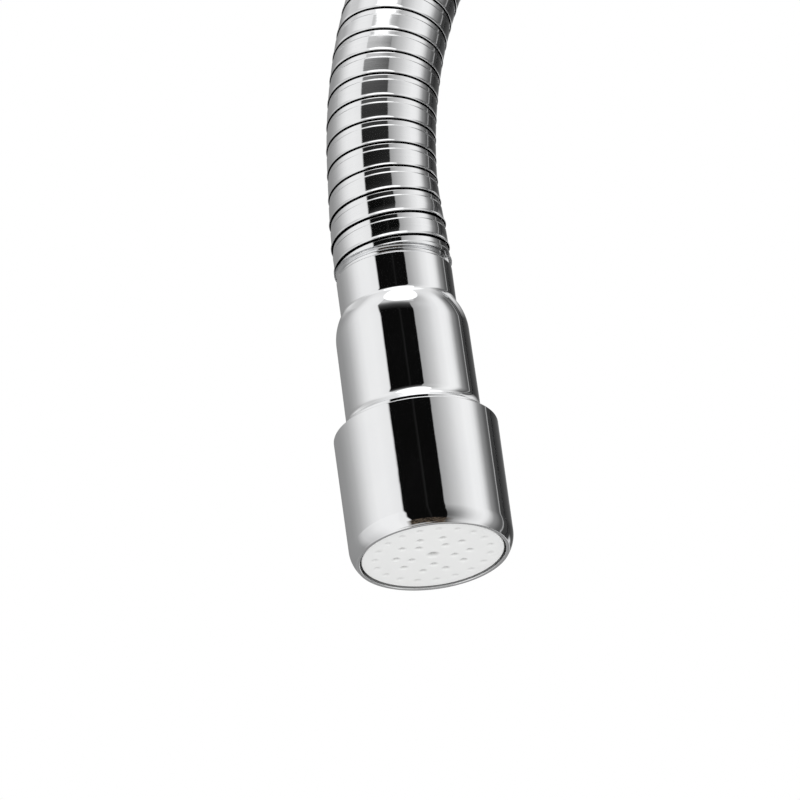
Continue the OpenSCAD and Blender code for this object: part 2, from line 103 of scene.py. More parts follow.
def eased(t):
    """0 below 0, 1 above 1 and 3t^2 - 2t^3 between them."""
    t = np.clip(t, 0, 1)
    return t * t * (3 - 2 * t)


def unit(vector):
    """A vector divided by its length."""
    return vector / np.linalg.norm(vector)


def arc(centre, radius, start, end, n):
    """n + 1 points on a circle in section, from angle start to angle end in degrees."""
    a = np.radians(np.linspace(start, end, n + 1))
    return np.stack([centre[0] + radius * np.cos(a), centre[1] + radius * np.sin(a)], -1)


def unrounded(points):
    """Points (r, h) of an arc as corners of rounded() that stay as they are."""
    return [(r, h, 0) for r, h in points]


def rounded(corners):
    """Closed outline in section from corners (r, h, rounding).

    Each rounding is an arc that touches both sides of its corner: its ends lie
    rounding / tan(half the corner's angle) from the corner. A further point beside each
    end of the arc keeps the straight side flat.
    """
    pts = np.array([c[:2] for c in corners], float)
    line = []
    for i, (p, rounding) in enumerate(zip(pts, [c[2] for c in corners])):
        if rounding == 0:
            line.append(p[None])
            continue
        before, after = unit(pts[i - 1] - p), unit(pts[(i + 1) % len(pts)] - p)
        half = math.acos(np.clip(before @ after, -1, 1)) / 2
        back = rounding / math.tan(half)
        middle = p + unit(before + after) * rounding / math.sin(half)
        ends = [p + before * back - middle, p + after * back - middle]
        a0, a1 = (math.atan2(e[1], e[0]) for e in ends)
        turn = (a1 - a0 + math.pi) % TAU - math.pi
        n = max(2, math.ceil(abs(turn) / ROUNDING_STEP))
        bend = arc(middle, rounding, math.degrees(a0), math.degrees(a0 + turn), n)
        beside = back + SUPPORT
        line += [(p + before * beside)[None], bend, (p + after * beside)[None]]
    return np.concatenate(line)


def turned(outline, steps):
    """Surface of revolution: outline point (r, h) at angle a is (r cos a, r sin a, h)."""
    a = np.arange(steps)[:, None] * TAU / steps
    r, h = outline[None, :, 0], outline[None, :, 1]
    return np.stack([r * np.cos(a), r * np.sin(a), h + 0 * a], -1)


def grid_faces(nu, nv, round_u=True, round_v=True):
    """Corner numbers of the four-sided faces of an nu by nv grid. A round side joins its ends."""
    us, vs = np.arange(nu if round_u else nu - 1), np.arange(nv if round_v else nv - 1)
    u, v = np.meshgrid(us, vs, indexing="ij")
    u1, v1 = (u + 1) % nu, (v + 1) % nv
    return np.stack([u * nv + v, u1 * nv + v, u1 * nv + v1, u * nv + v1], -1).reshape(-1, 4)


def fan_faces(hub, ring):
    """Three-sided faces that close a ring of corners onto one point."""
    return np.stack([np.full(len(ring), hub), ring, np.roll(ring, -1)], -1)


class Piece:
    """A closed mesh, kept as points in millimetres and faces, until build() makes its object.

    sharp is the angle in degrees past which an edge isn't shaded smooth. uv and the values
    in notes, if any, are given for each point.
    """

    def __init__(self, name, points, quads, triangles=(), sharp=32):
        self.name, self.sharp = name, sharp
        self.points = np.asarray(points, float).reshape(-1, 3)
        self.quads = np.asarray(quads, int).reshape(-1, 4)
        self.triangles = np.asarray(triangles, int).reshape(-1, 3)
        self.uv = None
        self.notes = {}

    def volume(self):
        """Enclosed volume: the sum over triangles of a . (b x c) / 6."""
        halves = self.quads[:, [0, 1, 2]], self.quads[:, [0, 2, 3]]
        corners = np.concatenate([*halves, self.triangles])
        a, b, c = (self.points[corners[:, i]] for i in range(3))
        return np.einsum("ij,ij->", a, np.cross(b, c)) / 6

    def build(self, look, slot):
        """The object, with its faces outwards, shaded smooth except across sharp edges."""
        if self.volume() < 0:
            self.quads, self.triangles = self.quads[:, ::-1], self.triangles[:, ::-1]
        corners = np.concatenate([self.quads.ravel(), self.triangles.ravel()])
        sizes = np.repeat([4, 3], [len(self.quads), len(self.triangles)])
        mesh = bpy.data.meshes.new(self.name)
        mesh.vertices.add(len(self.points))
        mesh.vertices.foreach_set("co", (self.points / MM_PER_M).astype(np.float32).ravel())
        mesh.loops.add(len(corners))
        mesh.loops.foreach_set("vertex_index", corners.astype(np.int32))
        mesh.polygons.add(len(sizes))
        mesh.polygons.foreach_set("loop_start", (np.cumsum(sizes) - sizes).astype(np.int32))
        mesh.update(calc_edges=True)
        mesh.polygons.foreach_set("use_smooth", np.ones(len(sizes), bool))
        mesh.set_sharp_from_angle(angle=math.radians(self.sharp))
        if self.uv is not None:
            layer = mesh.uv_layers.new(name="UVMap")
            layer.data.foreach_set("uv", self.uv[corners].astype(np.float32).ravel())
        for name, values in self.notes.items():
            note = mesh.attributes.new(name, "FLOAT", "POINT")
            note.data.foreach_set("value", values.astype(np.float32))
        mesh.materials.append(look)
        obj = bpy.data.objects.new(self.name, mesh)
        bpy.context.scene.collection.objects.link(obj)
        return obj


# ---------------------------------------------------------------- finishes


class Socket:
    """A shader value that takes part in sums: each operator adds one Math node."""

    def __init__(self, graph, port):
        self.graph, self.port = graph, port

    def maths(self, operation, first, second):
        return self.graph.node("ShaderNodeMath", {"operation": operation}, {0: first, 1: second})

    def __add__(self, other):
        return self.maths("ADD", self, other)

    def __sub__(self, other):
        return self.maths("SUBTRACT", self, other)

    def __rsub__(self, other):
        return self.maths("SUBTRACT", other, self)

    def __mul__(self, other):
        return self.maths("MULTIPLY", self, other)

    __radd__, __rmul__ = __add__, __mul__

    def larger(self, other):
        """The larger of two values."""
        return self.maths("MAXIMUM", self, other)


class Graph:
    """The nodes of one material or world."""

    def __init__(self, owner):
        owner.use_nodes = True
        self.tree = owner.node_tree
        self.tree.nodes.clear()

    def node(self, kind, settings=None, inputs=None, out=0):
        """Adds a node: its settings first, then its sockets' values or links.

        The setting stops gives a ramp's stops as (position, grey).
        """
        made = self.tree.nodes.new(kind)
        for name, value in (settings or {}).items():
            if name == "stops":
                ramp = made.color_ramp.elements
                while len(ramp) < len(value):
                    ramp.new(1.0)
                for element, (position, shade) in zip(ramp, value):
                    element.position, element.color = position, grey(shade)
            else:
                setattr(made, name, value)
        for name, value in (inputs or {}).items():
            if isinstance(value, Socket):
                self.tree.links.new(value.port, made.inputs[name])
            else:
                made.inputs[name].default_value = value
        return Socket(self, made.outputs[out]) if len(made.outputs) else None

    def mix(self, factor, one, other):
        """The colour one where factor is 0, and other where it is 1."""
        return self.node(
            "ShaderNodeMix", {"data_type": "RGBA"}, {0: factor, 6: one, 7: other}, out=2
        )

    def span(self, value, low, high, to_low=0.0, to_high=1.0):
        """value mapped from low..high to to_low..to_high, and held at the ends."""
        inputs = {0: value, 1: low, 2: high, 3: to_low, 4: to_high}
        return self.node("ShaderNodeMapRange", {}, inputs)

    def tint(self, value, low, high, one, other):
        """The colour one where value is low, fading to other where it is high."""
        return self.mix(self.span(value, low, high), one, other)

    def curve(self, value, points):
        """value looked up in points (value, result), straight between them, held at the ends."""
        low, high = points[0][0], points[-1][0]
        stops = [((place - low) / (high - low), result) for place, result in points]
        return self.node("ShaderNodeValToRGB", {"stops": stops}, {0: self.span(value, low, high)})

    def noise(self, place, scale, detail=3.0, roughness=0.5):
        """Noise about 0.5 at a place."""
        inputs = {"Vector": place, "Scale": scale, "Detail": detail, "Roughness": roughness}
        return self.node("ShaderNodeTexNoise", {}, inputs)

    def stretched(self, place, scale):
        """A place scaled by a different amount along each axis."""
        return self.node("ShaderNodeMapping", {}, {"Vector": place, "Scale": scale})

    def bump(self, height, distance):
        """The normal of a surface raised by height times distance."""
        return self.node("ShaderNodeBump", {}, {"Distance": distance, "Height": height})


def grey(value):
    """An opaque colour of three equal values."""
    return (value, value, value, 1.0)


def finish(name, paint):
    """A material whose surface is a Principled shader with the sockets that paint gives."""
    material = bpy.data.materials.new(name)
    graph = Graph(material)
    shader = graph.node("ShaderNodeBsdfPrincipled", {}, paint(graph))
    graph.node("ShaderNodeOutputMaterial", {}, {"Surface": shader})
    return material


def chrome(graph):
    """Polished plate: a faint ripple left by the polishing, hairline marks and thin haze."""
    at = graph.node("ShaderNodeTexCoord", out="Object")
    ripple = graph.noise(at, 260.0, 2.0)
    hairs = graph.noise(graph.stretched(at, (300.0, 300.0, 5200.0)), 1.0, 4.0, 0.7)
    haze = graph.noise(at, 90.0, 4.0, 0.6)
    clean, hazed = (0.93, 0.935, 0.94, 1), (0.90, 0.905, 0.915, 1)
    dull = graph.span(haze, 0.35, 0.75, 0.018, 0.05)
    return {
        "Base Color": graph.tint(haze, 0.3, 0.7, clean, hazed),
        "Metallic": 1.0,
        "Roughness": dull + graph.span(hairs, 0.62, 0.8, 0.0, 0.03),
        "Normal": graph.bump(ripple + hairs * 0.06, 0.000012),
    }


def wound_steel(graph):
    """Polished strip: marks drawn out along the strip, and a slight wave across it."""
    at = graph.node("ShaderNodeUVMap", {"uv_map": "UVMap"})
    drawn = graph.noise(graph.stretched(at, (70.0, 5200.0, 1.0)), 1.0, 4.0, 0.65)
    grain = graph.noise(at, 1500.0, 3.0, 0.6)
    wave = graph.noise(graph.stretched(at, (120.0, 420.0, 1.0)), 1.0, 2.0)
    bright, worn = (0.92, 0.925, 0.93, 1), (0.87, 0.875, 0.885, 1)
    dull = graph.span(drawn, 0.3, 0.8, 0.03, 0.085)
    return {
        "Base Color": graph.tint(drawn, 0.35, 0.7, bright, worn),
        "Metallic": 1.0,
        "Roughness": dull + graph.span(grain, 0.5, 0.8, 0.0, 0.02),
        "Normal": graph.bump(wave * 0.5 + drawn * 0.10 + grain * 0.06, 0.000018),
    }


def face_plastic(graph):
    """Satin white moulding: fine sparked texture and more matt in the jets, with painted shade
    that darkens the jets and the gap beside the rim.
    """
    at = graph.node("ShaderNodeTexCoord", out="Object")
    spark = graph.noise(at, 5200.0, 3.0, 0.6)
    cloud = graph.noise(at, 120.0, 3.0)
    # This attribute is painted shade of the jets and of the gap beside the rim: it darkens the
    # colour, and also makes those places more matt
    deep = graph.node("ShaderNodeAttribute", {"attribute_name": "recess"}, out="Fac")
    white = graph.tint(cloud, 0.3, 0.7, (0.90, 0.905, 0.90, 1), (0.875, 0.88, 0.875, 1))
    return {
        "Base Color": graph.mix(deep * 0.62, white, (0.22, 0.22, 0.21, 1)),
        "Roughness": graph.span(cloud, 0.3, 0.7, 0.36, 0.44) + deep * 0.15,
        "Specular IOR Level": 0.45,
        "Normal": graph.bump(spark, 0.000008),
    }


def white_moulding(graph):
    """White nylon-filled plastic of the parts inside the head."""
    at = graph.node("ShaderNodeTexCoord", out="Object")
    spark = graph.noise(at, 3800.0, 3.0, 0.6)
    flow = graph.noise(graph.stretched(at, (160.0, 160.0, 60.0)), 1.0, 3.0)
    return {
        "Base Color": graph.tint(flow, 0.3, 0.7, (0.86, 0.87, 0.86, 1), (0.80, 0.81, 0.80, 1)),
        "Roughness": graph.span(flow, 0.3, 0.7, 0.42, 0.52),
        "Normal": graph.bump(spark, 0.00001),
    }


def nylon(graph):
    """Ivory nylon washers, milky, with a fine machined grain."""
    at = graph.node("ShaderNodeTexCoord", out="Object")
    grain = graph.noise(at, 2600.0, 3.0, 0.6)
    cloud = graph.noise(at, 200.0, 2.0)
    return {
        "Base Color": graph.mix(cloud, (0.86, 0.83, 0.74, 1), (0.80, 0.77, 0.68, 1)),
        "Roughness": graph.span(cloud, 0.3, 0.7, 0.40, 0.50),
        "Normal": graph.bump(grain, 0.000008),
    }


def turned_brass(graph):
    """Brass as it comes off the lathe: fine rings along the turning axis, and slight tarnish."""
    at = graph.node("ShaderNodeTexCoord", out="Object")
    rings = graph.noise(graph.stretched(at, (40.0, 40.0, 4200.0)), 1.0, 3.0, 0.7)
    tarnish = graph.noise(at, 130.0, 4.0, 0.6)
    fresh, aged = (0.80, 0.60, 0.27, 1), (0.60, 0.42, 0.19, 1)
    cut = graph.span(rings, 0.3, 0.7, 0.16, 0.30)
    return {
        "Base Color": graph.tint(tarnish, 0.42, 0.72, fresh, aged),
        "Metallic": 1.0,
        "Roughness": cut + graph.span(tarnish, 0.5, 0.8, 0.0, 0.12),
        "Normal": graph.bump(rings, 0.00001),
    }


def pressed_steel(graph):
    """Thin pressed stainless: brushed one way, with duller patches."""
    at = graph.node("ShaderNodeTexCoord", out="Object")
    brush = graph.noise(graph.stretched(at, (3600.0, 120.0, 3600.0)), 1.0, 3.0, 0.7)
    patch = graph.noise(at, 180.0, 3.0)
    return {
        "Base Color": graph.tint(patch, 0.3, 0.7, (0.74, 0.74, 0.75, 1), (0.66, 0.66, 0.67, 1)),
        "Metallic": 1.0,
        "Roughness": graph.span(brush, 0.3, 0.7, 0.22, 0.34),
        "Normal": graph.bump(brush, 0.000006),
    }


def black_rubber(graph):
    """Moulded seal rubber: near black, with a bloom in patches."""
    at = graph.node("ShaderNodeTexCoord", out="Object")
    bloom = graph.noise(at, 260.0, 4.0, 0.6)
    grain = graph.noise(at, 3000.0, 3.0, 0.6)
    black, bloomed = (0.022, 0.022, 0.023, 1), (0.06, 0.06, 0.062, 1)
    return {
        "Base Color": graph.tint(bloom, 0.45, 0.75, black, bloomed),
        "Roughness": graph.span(bloom, 0.3, 0.7, 0.45, 0.65),
        "Normal": graph.bump(grain, 0.00001),
    }


def tube_rubber(graph):
    """Drawn water tube: dark grey, with faint lines and a waxy bloom."""
    at = graph.node("ShaderNodeTexCoord", out="Object")
    bloom = graph.noise(at, 150.0, 4.0, 0.6)
    grain = graph.noise(at, 2200.0, 3.0, 0.6)
    dark, bloomed = (0.075, 0.076, 0.08, 1), (0.13, 0.13, 0.135, 1)
    return {
        "Base Color": graph.tint(bloom, 0.4, 0.75, dark, bloomed),
        "Roughness": graph.span(bloom, 0.3, 0.7, 0.40, 0.58),
        "Normal": graph.bump(grain, 0.000012),
    }


FINISHES = {
    "chrome_plate": finish("Chrome.Plate", chrome),
    "neck_steel": finish("Chrome.Strip", wound_steel),
    "brass": finish("Brass.Turned", turned_brass),
    "fine_steel": finish("Steel.Pressed", pressed_steel),
    "black_rubber": finish("Rubber.Seal", black_rubber),
    "tube_rubber": finish("Rubber.Tube", tube_rubber),
    "nylon": finish("Nylon.Ivory", nylon),
    "white_plastic": finish("Plastic.Inner", white_moulding),
}
FACE_FINISH = finish("Plastic.Face", face_plastic)

for part in frame["record"]["subparts"]:
    mesh = frame["nodes"][part["node"]].data
    mesh.materials.clear()
    mesh.materials.append(FINISHES[part["material_slot"]])

# ---------------------------------------------------------------- neck

# Section of the strip as (radius, distance from the turn's start): the tucked edge, the
# foot under the lip of the turn before, the land, and the lip that flares at its end
STRIP_OUTSIDE = [
    (7.91, -1.60), (7.94, -1.50), (8.06, -0.16), (8.09, -0.12), (8.31, -0.06), (8.35, 0.02),
    (8.355, 0.14), (8.358, 0.24), (8.362, 0.74), (8.364, 0.80), (8.395, 0.87), (8.444, 0.95),
    (8.46, 1.01), (8.46, 1.10), (8.46, 2.20), (8.46, 3.14), (8.461, 3.22), (8.468, 3.34),
    (8.492, 3.47), (8.525, 3.59), (8.535, 3.64), (8.522, 3.68), (8.46, 3.70),
]
STRIP_INSIDE = [
    (7.82, -1.60), (7.84, -0.10), (8.10, 0.14), (8.12, 0.86), (8.30, 1.14), (8.32, 3.00),
    (8.44, 3.16), (8.445, 3.68),
]
LIP_T = 3.75                      # place of the lip's edge in the section
STRIP_R = 8.4                     # middle of the strip, for the length of its UV map

# The edge of the lip runs past both ends of the neck, so that the whole section gets
# there. Nothing of the strip lies before STRIP_FROM or beyond STRIP_TO
LIP_FROM, LIP_TO = -1.4, NECK_L + 7.6
STRIP_FROM, STRIP_TO = -3.6, NECK_L + 0.45

# Spread of the last turns over the head's fitting, and extra height of the last lip: how
# much, where along the neck it starts, and how far on it is reached. Across the strip the
# lip's height starts at FLARE_T and is reached FLARE_W further
SWELL, SWELL_FROM, SWELL_L = 0.52, 392, 14
FLARE, FLARE_FROM, FLARE_L, FLARE_T, FLARE_W = 0.11, 397, 5, 3.1, 0.5

END_COLUMNS = (0.15, 1.0)         # columns of points near a run's ends, in degrees from them
UNMIRRORED_RUNS = 10              # the leg and half of the arch, which no piece mirrors


def resampled(points, n):
    """n points spread evenly along a line of straight parts."""
    points = np.array(points, float)
    gone = np.concatenate([[0], np.cumsum(np.linalg.norm(np.diff(points, axis=0), axis=1))])
    at = np.linspace(0, gone[-1], n)
    return np.stack([np.interp(at, gone, points[:, i]) for i in range(2)], -1)


def neck_swell(s):
    """How far the turns are spread at distance s: SWELL, eased in along the neck."""
    return SWELL * eased((s - SWELL_FROM) / SWELL_L)


def lip_flare(s, t):
    """Extra height of the lip at distance s and section place t: FLARE, eased in along the
    neck and across the strip."""
    return FLARE * eased((s - FLARE_FROM) / FLARE_L) * eased((t - FLARE_T) / FLARE_W)


def winding_angle(s):
    """Winding angle at which the lip's edge lies at distance s along the neck."""
    return LIP_ANGLE + (s - LIP_AT) * TAU / PITCH


def strip(run, start, end):
    """Run of the wound strip between the winding angles start and end.

    At winding angle w the lip's edge is at LIP_AT + PITCH (w - LIP_ANGLE) / tau. A point
    (r, t) of the section lies as far along the neck as t is from the lip, at middle +
    r (outward cos w + across sin w) there. Columns close to both ends keep the shading
    even where the runs meet.
    """
    outside = np.array(STRIP_OUTSIDE)
    section = np.concatenate([outside, resampled(STRIP_INSIDE, len(outside))[::-1]])
    t = section[:, 1]
    steps = round((end - start) / TAU * STEPS_PER_TURN)
    close = np.radians(END_COLUMNS)
    w = np.concatenate([np.linspace(start, end, steps + 1), start + close, end - close])
    w = np.sort(w)[:, None]
    s = np.clip(LIP_AT + PITCH * (w - LIP_ANGLE) / TAU + t - LIP_T, STRIP_FROM, STRIP_TO)
    middle, outward, _ = route(s)
    across = np.array([0.0, 1.0, 0.0])
    turn = np.cos(w)[..., None] * outward + np.sin(w)[..., None] * across
    radius = section[:, 0] + neck_swell(s) + lip_flare(s, t)
    points = middle + radius[..., None] * turn
    nu, nv = points.shape[:2]
    side = np.arange(len(outside) - 1)
    cap = np.stack([side, side + 1, nv - 2 - side, nv - 1 - side], -1)
    quads = np.concatenate([grid_faces(nu, nv, False, True), cap, cap[:, ::-1] + (nu - 1) * nv])
    piece = Piece("neck_strip_%02d" % run, points, quads, sharp=55)
    piece.uv = np.stack([w * STRIP_R + 0 * s, t + 0 * s], -1).reshape(-1, 2) / MM_PER_M
    return piece


def strip_end(run):
    """Winding angle where a run's strip ends and the next one's begins.

    The seam of the turn that ends there goes round the joint between the runs, a quarter
    of a pitch past it, where the lip has most room to slide. The first joint bends about y
    and the next about the outward direction, by turns, so the strip ends on the side that
    such a bend moves least.
    """
    least = math.pi / 2 if run % 2 else 0.0
    wanted = winding_angle(RUN_L * run - JOINT_BACK + PITCH / 4)
    return least + math.pi * round((wanted - least) / math.pi)


def body_of_run(run):
    """Name of the body that carries a run: the first run stands on the base."""
    return "base" if run == 1 else "link_%02d" % run


ends = [
    winding_angle(LIP_FROM), *(strip_end(run) for run in range(1, RUNS)), winding_angle(LIP_TO)
]
for run, (start, end) in enumerate(zip(ends, ends[1:]), 1):
    piece = strip(run, start, end).build(FINISHES["neck_steel"], "neck_steel")
    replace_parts(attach(piece, body_of_run(run)), "neck_%02d" % run)
    piece.visible_glossy = run > UNMIRRORED_RUNS

# ---------------------------------------------------------------- base


def connector_nut():
    """Hexagonal union nut with a threaded bore.

    The outside is at half / cos(b), where half is half the width across the flats and b
    the angle from the nearest flat's middle. The corners are cut by cones of a given slope,
    so each column of points meets the flat where cone and flat are equally far out. The
    thread is a wave in the bore's radius that advances one thread pitch per turn and fades
    at both ends.
    """
    steps, half, bottom, hex_top, top = 360, 12.0, -9.8, 3.45, 6.95
    edge, slope, sink = half - 0.15, 0.7, 0.02
    bore, relief, groove = 9.3155, 9.6155, 1.0
    thread_pitch, thread_top, thread_end, thread_rows = 1.814, -0.5, -9.1, 84
    a = np.arange(steps) * TAU / steps
    one = np.ones(steps)
    flat = half / np.cos(np.abs(a % (TAU / 6) - TAU / 12))
    bevel = slope * (flat - half)
    rows = [
        (edge * one, bottom * one),
        (flat - sink, bottom + bevel),
        (flat, bottom + bevel + SUPPORT),
        (flat, hex_top - bevel - SUPPORT),
        (flat - sink, hex_top - bevel),
    ]
    crown = rounded([
        (edge, hex_top, 0), (11.4, hex_top, 0.2), (11.4, 4.05, 0.25), (10.8, 5.95, 0.5),
        (10.8, top, 0.9), (7.35, top, 0.2), (7.35, 4.85, 0), (relief, 4.85, 0.2),
        (relief, 0, 0), (bore, 0, 0),
    ])
    rows += [(r * one, h * one) for r, h in crown]
    z = np.linspace(thread_top, thread_end, thread_rows)
    wave = np.clip(0.5 + 0.72 * np.sin(TAU * (z[:, None] / thread_pitch) - a[None]), 0, 1)
    fade = eased((thread_top - z) / 0.8) * eased((z - thread_end) / 0.4)
    rows += [(bore + groove * f * w, h * one) for f, w, h in zip(fade, wave, z)]
    rows += [(bore * one, -9.2 * one), (9.9 * one, bottom * one)]
    r, h = (np.array([row[i] for row in rows]).T for i in range(2))
    points = np.stack([r * np.cos(a)[:, None], r * np.sin(a)[:, None], h], -1)
    return Piece("union_nut", points, grid_faces(*points.shape[:2]))


def base_sleeve():
    """Waisted ferrule over the neck's foot: a turned outline with a socket for the strip."""
    waist_r, sweep = 8.98, 7.167
    waist = arc((waist_r + sweep, 15.85), sweep, 213.9, 180, 12)
    outline = rounded([
        (7.0, 7.35, 0), (10.2, 7.35, 0.4), (10.2, 11.4, 0), *unrounded(waist),
        (waist_r, 16.3, 0), (waist_r, 24.1, 0.16), (8.62, 24.1, 0.1), (8.62, 20.4, 0),
        (7.0, 20.4, 0),
    ])
    steps = 256
    points = turned(outline, steps)
    return Piece("base_sleeve", points, grid_faces(*points.shape[:2]))


# ---------------------------------------------------------------- head


def head_piece(name, outline):
    """A turned piece set on the head."""
    steps = 320
    points = on_head(turned(outline, steps))
    return Piece(name, points, grid_faces(*points.shape[:2]))


def neck_collar():
    """Collar that ends the neck: a groove, a bead, and a skirt that the barrel turns on."""
    bead = arc((8.02, 48.47), 0.46, 62, -62, 10)
    outline = [
        (7.5, 49.3), (8.6, 49.3), (8.62, 49.2), (8.62, 49.12), (8.5, 48.98), (8.26, 48.92),
        *bead, (7.9, 48.02), (7.9, 41.65), (7.0, 41.65), (7.0, 54.1), (7.5, 54.1),
    ]
    return head_piece("neck_collar", np.array(outline))


def barrel():
    """Barrel: neck, domed shoulder, long wall that widens slightly, and a filleted foot."""
    dome = arc((1.6925, 37.05), 8.6175, 0, 30.4, 24)[1:]
    crease = arc((10.18, 42.023), 1.2, 210.4, 180, 8)[1:]
    foot = arc((13.42, 24.3), 3.0, 236.2, 180, 24)
    outline = rounded([
        (10.95, 4.34, 0.4), (11.85, 4.9, 0.2), (11.85, 20.0, 0), (11.75, 20.0, 0),
        *unrounded(foot), (10.419, 24.4, 0), (10.365, 30.4, 0), (10.312, 36.7, 0),
        *unrounded(dome), *unrounded(crease),
        (8.98, 42.2, 0), (8.98, 47.95, 0.32), (7.99, 47.95, 0.15), (7.99, 41.4, 0),
        (5.6, 41.4, 0), (5.6, 17.14, 0), (7.44, 17.14, 0), (7.44, 11.94, 0),
        (10.2, 11.94, 0), (10.2, 4.34, 0),
    ])
    return head_piece("head_barrel", outline)


def spray_cap():
    """Screw cap: plain wall, edge that curls in at the mouth, and an inner lip round the face."""
    curl = arc((8.295, 2.4), 4.455, -35.5, 0, 26)
    outline = rounded([
        (11.35, 1.35, 0), (11.35, -0.3, 0.1), (11.86, -0.3, 0.12), *unrounded(curl),
        (12.75, 2.6, 0), (12.75, 11.5, 0), (12.75, 21.0, 0.22), (11.95, 21.0, 0),
        (11.95, 1.35, 0),
    ])
    return head_piece("spray_mouth_cap", outline)


# Hollows of the spray face. A ring of them is (radius, count, first angle in degrees), and
# each ring of jets has a share of the full depth. A size is (depth, radius), and a shade's
# depth is an amount of painted shade. SHADE_SHIFT moves the painted shade to one side of
# each hollow
MIDDLE = (0.0, 1, 0.0)
JET_RINGS = (((3.5, 5, 14.7), 1.0), ((5.7, 10, 32.7), 1.0), ((9.0, 19, 2.3), 0.4))
MIDDLE_DISH, MIDDLE_SHADE = (0.36, 1.25), (1.1, 1.2)
JET_DISH, JET_BORE, JET_SHADE = (0.26, 0.80), (0.2, 0.3), (1.0, 0.78)
SHADE_SHIFT = (0.12, 0.16)


def hollows(x, y, ring, size, share=1.0, shift=(0.0, 0.0)):
    """Depth at (x, y) of a ring of equal hollows of a given size (depth, radius): share depth
    (1 - q^2)^2, where q is the distance to the nearest one's middle over its radius. With a
    shade's size it gives an amount of painted shade instead."""
    ring_r, count, start = ring
    depth, radius = size
    a = np.radians(start) + np.arange(count) * TAU / count
    dx = x[..., None] - ring_r * np.cos(a) - shift[0]
    dy = y[..., None] - ring_r * np.sin(a) - shift[1]
    near = (dx**2 + dy**2).min(-1)
    return share * depth * np.clip(1 - near / radius**2, 0, 1) ** 2


def jet_depth(x, y):
    """Depth and painted shade of the face's hollows at (x, y): a blind dish in the middle, and
    for each jet a dish and a bore. The painted shade darkens the same places, moved by
    SHADE_SHIFT to one side of each hollow."""
    deep = hollows(x, y, MIDDLE, MIDDLE_DISH)
    shade = hollows(x, y, MIDDLE, MIDDLE_SHADE, shift=SHADE_SHIFT)
    for ring, share in JET_RINGS:
        deep += hollows(x, y, ring, JET_DISH, share) + hollows(x, y, ring, JET_BORE, share)
        shade += hollows(x, y, ring, JET_SHADE, share, SHADE_SHIFT)
    return deep, shade


def spray_face():
    """White face: a disc whose points (radius, angle) are pushed in by jet_depth, then its
    rounded rim, the flange that the cap holds, and its flat back."""
    steps, back = 600, 2.2
    a = np.arange(steps)[None] * TAU / steps
    radii = np.concatenate([np.linspace(0.1, 10.7, 130), [10.84, 10.93]])[:, None]
    x, y = radii * np.cos(a), radii * np.sin(a)
    deep, shade = jet_depth(x, y)
    rim = rounded([
        (10.95, 0.0, 0), (11.03, 0.0, 0.05), (11.03, 1.4, 0), (11.85, 1.4, 0.1),
        (11.85, 3.0, 0), (10.1, 3.0, 0), (10.1, 4.69, 0), (9.6, 4.69, 0), (9.6, back, 0),
    ])
    rim = np.concatenate([rim, [(0.2, back)]])
    edge = turned(rim, steps).transpose(1, 0, 2)
    points = np.concatenate([np.stack([x, y, deep], -1), edge]).reshape(-1, 3)
    rows = len(radii) + len(rim)
    hubs = np.array([[0, 0, 0.3], [0, 0, back]])
    ring = np.arange(steps)
    fans = [
        fan_faces(rows * steps, ring[::-1]),
        fan_faces(rows * steps + 1, ring + (rows - 1) * steps),
    ]
    points = on_head(np.concatenate([points, hubs]))
    quads = grid_faces(rows, steps, False, True)
    piece = Piece("face_plate", points, quads, np.concatenate(fans), sharp=50)
    gap_shade, gap_shade_h = 1.5, 0.3  # full painted shade in the gap beside the rim, and the height where it is reached
    rim_shade = np.repeat(np.clip(rim[:, 1] / gap_shade_h, 0, 1) * gap_shade, steps)
    # Painted shade for each point: the hollows, then the gap beside the rim, and none on the two
    # hubs
    piece.notes["recess"] = np.concatenate([shade.ravel(), rim_shade, [0, 0]])
    return piece


for make, body, node, look, slot in (
    (connector_nut, "nut", "connector_nut", FINISHES["chrome_plate"], "chrome_plate"),
    (base_sleeve, "base", "base_ferrule", FINISHES["chrome_plate"], "chrome_plate"),
    (neck_collar, "link_17", "head_collar", FINISHES["chrome_plate"], "chrome_plate"),
    (barrel, "head", "barrel", FINISHES["chrome_plate"], "chrome_plate"),
    (spray_cap, "head", "spray_cap", FINISHES["chrome_plate"], "chrome_plate"),
    (spray_face, "head", "spray_face", FACE_FINISH, "white_plastic"),
):
    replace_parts(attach(make().build(look, slot), body), node)

# ---------------------------------------------------------------- studio

# Camera: where it stands, seen from the head, its distance and how far from the middle of
# the spray face it aims, in metres, and its lens and film, in millimetres
VIEW_AZIMUTH, VIEW_ELEVATION = math.radians(-36.5), math.radians(-30.9)
VIEW_FROM, AIM_LEFT, AIM_UP = 5.0, 0.00505, 0.02378
LENS, SENSOR = 1466.0, 36.0

# The camera's directions: ahead but level, to the right, ahead, and up in its picture
level = Vector((-math.sin(VIEW_AZIMUTH), math.cos(VIEW_AZIMUTH), 0))
right = Vector((level.y, -level.x, 0))
forward = level * math.cos(VIEW_ELEVATION) + Vector((0, 0, -math.sin(VIEW_ELEVATION)))
above = right.cross(forward)

# The floor's height, just under the nut, and half its width, and the middle of the part
FLOOR_Z, FLOOR_HALF = -0.0099, 6
PART_MIDDLE = Vector((-0.1, 0, 0.1))


def camera():
    """Long lens far below the head, looking up: the head fills the frame, the neck leaves it."""
    face = Vector(on_head(np.zeros((1, 3)))[0] / MM_PER_M)
    aim = face - right * AIM_LEFT + above * AIM_UP
    data = bpy.data.cameras.new("Camera")
    data.lens, data.sensor_width = LENS, SENSOR
    data.clip_start, data.clip_end = 0.1, 100.0
    made = bpy.data.objects.new("Camera", data)
    bpy.context.scene.collection.objects.link(made)
    turn = Matrix((right, above, -forward)).transposed().to_4x4()
    made.matrix_world = Matrix.Translation(aim - forward * VIEW_FROM) @ turn
    bpy.context.scene.camera = made


